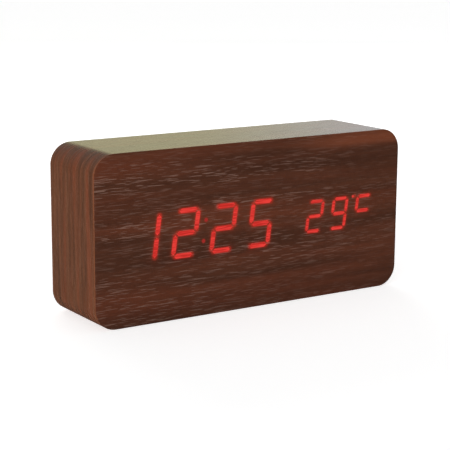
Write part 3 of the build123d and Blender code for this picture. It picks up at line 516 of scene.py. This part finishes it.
def circuit_board_surface(tree):
    """Glass-epoxy board under green solder mask: glossy, with tracks that show as lighter lines."""
    place = node(tree, "ShaderNodeTexCoord", {}, out="Object")
    # Tracks 0.3 mm wide on a 1.27 mm grid.
    laid = {"Vector": place, "Rotation": (math.pi / 2, 0, 0), "Scale": per_mm(1, 1, 1)}
    laid = node(tree, "ShaderNodeMapping", laid)
    courses = {"Vector": laid, "Scale": 1.0, "Mortar Size": 0.15, "Mortar Smooth": 0.2}
    courses |= {"Brick Width": 7.62, "Row Height": 1.27, "Bias": 0.0}
    tracks = node(tree, "ShaderNodeTexBrick", courses, out="Fac")
    weave = node(tree, "ShaderNodeTexNoise", {"Vector": laid, "Scale": 1.5, "Detail": 2.0})
    tone = node(tree, "ShaderNodeMath", {0: tracks, 1: 0.6, 2: weave}, operation="MULTIPLY_ADD")
    tone = node(tree, "ShaderNodeMapRange", {"Value": tone, "From Min": 0.3, "From Max": 1.2})
    colours = {0: tone, 6: linear("#0c3a22"), 7: linear("#2f7a48")}
    surface = {
        "Base Color": node(tree, "ShaderNodeMix", colours, **COLOUR),
        "Roughness": 0.28,
        "IOR": 1.55,
        "Normal": node(tree, "ShaderNodeBump", {"Height": tracks, "Strength": 0.5, "Distance": 0.03 * MM}),
    }
    return node(tree, "ShaderNodeBsdfPrincipled", surface)


# ---- Finishes: metals ----
def metal_surface(tree, colour, shade, roughness, brushed):
    """Plated or drawn metal with fine lines left by rolling, drawing or turning.

    It gives a bright metal whose reflections are blurred unevenly, with faint dull patches from
    handling. The real lines are under 0.05 mm apart. `brushed` gives their size along each axis as
    drawn, in millimetres, coarse enough to show.
    """
    place = node(tree, "ShaderNodeTexCoord", {}, out="Object")
    lines = node(tree, "ShaderNodeMapping", {"Vector": place, "Scale": per_mm(*brushed)})
    lines = {"Vector": lines, "Scale": 1.0, "Detail": 3.0, "Roughness": 0.65}
    lines = node(tree, "ShaderNodeTexNoise", lines)
    patch = node(tree, "ShaderNodeMapping", {"Vector": place, "Scale": per_mm(3, 3, 3)})
    patch = node(tree, "ShaderNodeTexNoise", {"Vector": patch, "Scale": 1.0, "Detail": 2.0})
    blur = node(tree, "ShaderNodeMath", {0: lines, 1: 0.4, 2: patch}, operation="MULTIPLY_ADD")
    blur = {"Value": blur, "From Min": 0.45, "From Max": 0.95}
    blur |= {"To Min": roughness - 0.07, "To Max": roughness + 0.1}
    colours = {0: patch, 6: linear(shade), 7: linear(colour)}
    surface = {
        "Base Color": node(tree, "ShaderNodeMix", colours, **COLOUR),
        "Metallic": 1.0,
        "Roughness": node(tree, "ShaderNodeMapRange", blur),
        "Normal": node(tree, "ShaderNodeBump", {"Height": lines, "Strength": 0.25, "Distance": 0.02 * MM}),
    }
    return node(tree, "ShaderNodeBsdfPrincipled", surface)


def cell_jacket_surface(tree):
    """Shrunk PVC sleeve, printed slate blue with a pale band at one end and no lettering, glossy."""
    place = node(tree, "ShaderNodeTexCoord", {}, out="Object")
    centred = node(tree, "ShaderNodeMapping", {"Vector": place, "Location": (-CELLS_X * MM, 0, 0)})
    x, z = (node(tree, "ShaderNodeSeparateXYZ", {0: centred}, out=axis) for axis in (0, 2))
    # Neighbouring cells lie the other way round, so each second row takes its band at the other end.
    turned = {0: z, 1: 1 / (2 * CELL_PITCH * MM), 2: CELL_ROW_START}
    turned = node(tree, "ShaderNodeMath", turned, operation="MULTIPLY_ADD")
    turned = node(tree, "ShaderNodeMath", {0: turned}, operation="FRACT")
    turned = node(tree, "ShaderNodeMath", {0: turned, 1: 0.5}, operation="GREATER_THAN")
    turned = node(tree, "ShaderNodeMath", {0: turned, 1: 2.0, 2: -1.0}, operation="MULTIPLY_ADD")
    towards = node(tree, "ShaderNodeMath", {0: x, 1: turned}, operation="MULTIPLY")
    start, full = (edge * MM for edge in CELL_BAND)
    band = node(tree, "ShaderNodeMapRange", {"Value": towards, "From Min": start, "From Max": full})
    fine = node(tree, "ShaderNodeMapping", {"Vector": place, "Scale": per_mm(6, 0.8, 0.8)})
    creases = node(tree, "ShaderNodeTexNoise", {"Vector": fine, "Scale": 1.0, "Detail": 2.0})
    ink = node(tree, "ShaderNodeMix", {0: creases, 6: linear("#22364a"), 7: linear("#314a62")}, **COLOUR)
    surface = {
        "Base Color": node(tree, "ShaderNodeMix", {0: band, 6: ink, 7: linear("#c9ccc6")}, **COLOUR),
        "Roughness": 0.25,
        "IOR": 1.53,
        "Normal": node(tree, "ShaderNodeBump", {"Height": creases, "Strength": 0.2, "Distance": 0.05 * MM}),
    }
    return node(tree, "ShaderNodeBsdfPrincipled", surface)


def polymer(name, colour, shade, roughness, texture, depth, **words):
    """A moulded finish: its two colours, roughness, and its texture's size and depth in millimetres."""
    words |= dict(colour=colour, shade=shade, roughness=roughness, texture=texture, depth=depth)
    return finish_of(name, moulded_surface, **words)


def metal(name, colour, shade, roughness, brushed):
    """A metal finish: its two colours, roughness, and its lines' size along each axis in millimetres."""
    return finish_of(name, metal_surface, colour=colour, shade=shade, roughness=roughness, brushed=brushed)


def make_finishes():
    """One finish for each of the record's material slots."""
    lit = dict(bright="#e13a33", dim="#bb241d", body="#3a0a08")
    unlit = dict(bright="#050101", dim="#000000", body="#c8bdb4")
    chip = dict(bright="#ff4238", dim="#f03028", body="#c86a60")
    return {
        "film": finish_of("printed and embossed PVC decor film", plain_film_surface),
        "fibreboard": finish_of("raw routed fibreboard", fibreboard_surface),
        # White ABS that keeps each segment's light apart: bright and matt.
        "reflector_plastic": polymer("matt white ABS light box", "#ece9e0", "#dedbd0", 0.55, 0.4, 0.01),
        "lit_lens": finish_of("red-lit diffusing acrylic", lens_surface, **lit),
        "dim_lens": finish_of("dim red-lit acrylic dots", dot_surface),
        # The same acrylic with no light behind it: milky, and dark behind the film.
        "unlit_lens": finish_of("unlit diffusing acrylic", lens_surface, **unlit),
        # The brightest red, a hot point inside the light box.
        "led": finish_of("lit red LED chip", lens_surface, **chip),
        "circuit_board": finish_of("green solder mask on glass-epoxy board", circuit_board_surface),
        # Bright zinc plate on a pan-head screw: silvery with a faint blue cast.
        "zinc_screw": metal("zinc-plated steel screw", "#b9bdc2", "#8d9196", 0.34, (0.3, 0.3, 0.3)),
        # Transfer-moulded epoxy, near black with a matt, slightly grainy face.
        "chip_plastic": polymer("matt moulding epoxy", "#232323", "#161616", 0.6, 0.2, 0.01),
        # Dipped tin: pale grey, softly bright.
        "tinned_metal": metal("tinned copper lead", "#cfd0cc", "#a9aaa6", 0.3, (0.6, 0.2, 0.2)),
        # Fired ceramic body, tan and matt.
        "ceramic": polymer("fired ceramic chip body", "#b59a76", "#96805f", 0.5, 0.25, 0.01),
        # Nickel plate over drawn or rolled spring steel, with a warm grey cast.
        "steel": metal("nickel-plated spring steel", "#c2beb4", "#999488", 0.28, (2.0, 0.15, 0.15)),
        # Natural nylon: milky, a little waxy.
        "connector_nylon": polymer("natural nylon connector", "#e8e1cf", "#d6cdb8", 0.42, 0.5, 0.01),
        # A drawn can: brighter, with lines round it from the die.
        "cell_steel": metal("drawn nickel-plated cell can", "#c8c8c6", "#a0a09e", 0.26, (0.2, 2.0, 0.2)),
        # Flat PVC ribbon, mid grey and slightly glossy.
        "grey_insulation": polymer("grey PVC ribbon", "#8e9092", "#7b7d7f", 0.4, 0.6, 0.01),
        # Spark-eroded tool texture, 0.1 mm in the real part and drawn 0.7 mm so that it shows: a black
        # that looks charcoal where its sheen is broken up, with white foil on the raised key marks.
        "black_abs": polymer(
            "spark-textured black ABS", "#232324", "#0e0e0f", 0.48, 0.7, 0.06, foil_y=KEY_MARK_Y
        ),
        # A plain polished tool: smoother and a little glossier than the panel.
        "tray_abs": polymer("smooth black ABS tray", "#1a1a1b", "#111112", 0.42, 0.8, 0.01),
        "cell_jacket": finish_of("printed PVC cell sleeve", cell_jacket_surface),
        # Extruded PVC on the battery leads: even colour and a soft gloss.
        "red_insulation": polymer("red PVC lead", "#b3201a", "#8f1813", 0.36, 0.8, 0.01),
        "black_insulation": polymer("black PVC lead", "#1c1c1d", "#111111", 0.36, 0.8, 0.01),
        # Soft rubber with a bloom on it, the dullest black in the clock.
        "black_rubber": polymer("matt black rubber boot", "#1a1a1a", "#0f0f0f", 0.75, 0.3, 0.02),
        # Dipped epoxy bead on a thermistor, glossy dark green-black.
        "sensor_epoxy": polymer("dipped epoxy bead", "#1d2a22", "#131c17", 0.2, 1.2, 0.02),
        # Heat-shrunk PVC on the can, dark blue and glossy.
        "capacitor_sleeve": polymer("shrunk sleeve on a capacitor", "#2a2f45", "#1e2234", 0.3, 0.8, 0.01),
        # Gloss-moulded keys, a shade lighter than the panel round them.
        "button_abs": polymer("satin black ABS key", "#242425", "#19191a", 0.36, 0.5, 0.01),
    }


def dress_cad_nodes(finishes):
    """Gives every CAD node its slot's finish."""
    for part in frame["record"]["subparts"]:
        materials = frame["nodes"][part["node"]].data.materials
        materials.clear()
        materials.append(finishes[part["material_slot"]])


# ---- Stage ----
CENTRE = Vector((0, 0, HEIGHT / 2))
AZIMUTH, ELEVATION, ROLL = -0.5766, 0.2070, 0.0059  # the eye's direction from the clock, in radians
DISTANCE, ACROSS, UP = 595.32 * MM, -2.50 * MM, -3.44 * MM  # the eye from the clock's middle
SENSOR, LENS = 36, 112.184  # in millimetres
WALL_SIZE, WALL_PLACE, WALL_TARGET = (1.6, 0.5), (0.75, 1.15, 0.28), (0.0, 0.0, 0.07)
TABLE_SIZE, TABLE_PLACE = (0.6, 0.6), (0.21, 0.36, 0.002)


def make_camera():
    """The eye stands to the left of the clock and a little above it, with a long lens."""
    flat = math.cos(ELEVATION)
    back = Vector((math.sin(AZIMUTH) * flat, -math.cos(AZIMUTH) * flat, math.sin(ELEVATION)))
    level = Vector((math.cos(AZIMUTH), math.sin(AZIMUTH), 0))
    upright = back.cross(level)
    right = level * math.cos(ROLL) + upright * math.sin(ROLL)
    up = upright * math.cos(ROLL) - level * math.sin(ROLL)
    data = bpy.data.cameras.new("eye")
    data.sensor_width, data.lens = SENSOR, LENS
    data.clip_start, data.clip_end = 0.01, 100
    eye = bpy.data.objects.new("eye", data)
    eye.matrix_world = Matrix((right, up, back)).transposed().to_4x4()
    eye.location = CENTRE + back * DISTANCE + right * ACROSS + up * UP
    bpy.context.scene.collection.objects.link(eye)
    bpy.context.scene.camera = eye


def flat_card(name, size, surface):
    """A flat sheet of the stage, its width and depth given. It is not part of the object."""
    mesh = bmesh.new()
    bmesh.ops.create_grid(mesh, x_segments=1, y_segments=1, size=0.5)
    bmesh.ops.scale(mesh, verts=mesh.verts, vec=(*size, 1))
    data = bpy.data.meshes.new(name)
    mesh.to_mesh(data)
    mesh.free()
    data.materials.append(finish_of(name, surface))
    card = bpy.data.objects.new(name, data)
    bpy.context.scene.collection.objects.link(card)
    return card


def floor_surface(tree):
    """Matt white board, lit a little from below like a light table, so that it stays pale all over."""
    surface = {"Base Color": linear("#f2f2f2"), "Roughness": 0.9}
    surface |= {"Emission Color": (1, 1, 1, 1), "Emission Strength": 0.64}
    board = node(tree, "ShaderNodeBsdfPrincipled", surface)
    # From below the board is clear, so that the base can be looked at.
    clear = node(tree, "ShaderNodeBsdfTransparent", {})
    below = node(tree, "ShaderNodeNewGeometry", {}, out="Backfacing")
    return node(tree, "ShaderNodeMixShader", {0: below, 1: board, 2: clear})


def backdrop_surface(tree):
    """A pale wall behind the clock, olive at its left and grey at its right, seen only in the sheen."""
    place = node(tree, "ShaderNodeTexCoord", {}, out="Object")
    x = node(tree, "ShaderNodeSeparateXYZ", {0: place}, out=0)
    side = node(tree, "ShaderNodeMapRange", {"Value": x, "From Min": 0.1, "From Max": -0.3}, **SMOOTH)
    colour = node(tree, "ShaderNodeMix", {0: side, 6: linear("#dcdcb2"), 7: linear("#eef0f6")}, **COLOUR)
    return node(tree, "ShaderNodeEmission", {"Color": colour, "Strength": 1.3})


def sheen_surface(tree):
    """The tabletop behind the clock, as bright as its sheen on the black panel needs."""
    place = node(tree, "ShaderNodeTexCoord", {}, out="Object")
    y = node(tree, "ShaderNodeSeparateXYZ", {0: place}, out=1)
    near = {"Value": y, "From Min": 0.3, "From Max": -0.3, "To Min": 0.1, "To Max": 0.6}
    near = node(tree, "ShaderNodeMapRange", near)
    return node(tree, "ShaderNodeEmission", {"Color": linear("#fff8f0"), "Strength": near})


def aim(thing, place, target):
    """Puts a light or a card at a place and turns it to face a target."""
    thing.location = place
    thing.rotation_euler = (Vector(target) - Vector(place)).to_track_quat("-Z", "Y").to_euler()


def soft_light(name, kind, power, place, **sizes):
    """A light that faces the clock, is wide enough for soft shadows, and shows in no reflection."""
    data = bpy.data.lights.new(name, kind)
    data.energy = power
    for size, value in sizes.items():
        setattr(data, size, value)
    light = bpy.data.objects.new(name, data)
    bpy.context.scene.collection.objects.link(light)
    aim(light, place, CENTRE)
    light.visible_camera = False
    light.visible_glossy = False


def make_cards():
    """A pale floor, the wall that shows in the top's sheen, and the tabletop that shows in the panel's."""
    floor = flat_card("floor", (24, 24), floor_surface)
    floor.location.z = -0.1 * MM
    floor.visible_glossy = False
    wall = flat_card("wall", WALL_SIZE, backdrop_surface)
    aim(wall, WALL_PLACE, WALL_TARGET)
    table = flat_card("table_sheen", TABLE_SIZE, sheen_surface)
    table.location = TABLE_PLACE
    for card in (wall, table):
        card.visible_camera = False
        card.visible_diffuse = False
        card.visible_shadow = False


def make_lights():
    """A wide low window to the left of the front, the sky above, and the room behind."""
    soft_light("window", "SUN", 2.2, (-0.9, -0.56, 0.22), angle=math.radians(50))
    soft_light("sky", "SUN", 0.25, (0.2, 0.1, 1.0), angle=math.radians(90))
    soft_light("room", "AREA", 6.0, (0.3, 1.1, 0.4), size=0.8)


def make_surround():
    """White where it is looked at, and a dim glow that grows with height where it only gives light."""
    world = bpy.data.worlds.new("surround")
    bpy.context.scene.world = world
    world.use_nodes = True
    tree = world.node_tree
    tree.nodes.clear()
    seen = node(tree, "ShaderNodeLightPath", {}, out="Is Camera Ray")
    place = node(tree, "ShaderNodeTexCoord", {}, out="Generated")
    height = node(tree, "ShaderNodeSeparateXYZ", {0: place}, out=2)
    glow = {"Value": height, "From Min": 0.0, "From Max": 0.5, "To Min": 0.03, "To Max": 0.2}
    glow = node(tree, "ShaderNodeMapRange", glow)
    strength = node(tree, "ShaderNodeMix", {0: seen, 2: glow, 3: 1.0}, out=0)
    surround = node(tree, "ShaderNodeBackground", {"Color": (1, 1, 1, 1), "Strength": strength})
    node(tree, "ShaderNodeOutputWorld", {"Surface": surround})
    bpy.context.scene.view_settings.view_transform = "Standard"


make_camera()
make_front_film(finish_of("printed and embossed PVC film over the display", front_film_surface))
make_wrap(finish_of("printed PVC film round the case", wrap_film_surface))
dress_cad_nodes(make_finishes())
make_cards()
make_lights()
make_surround()
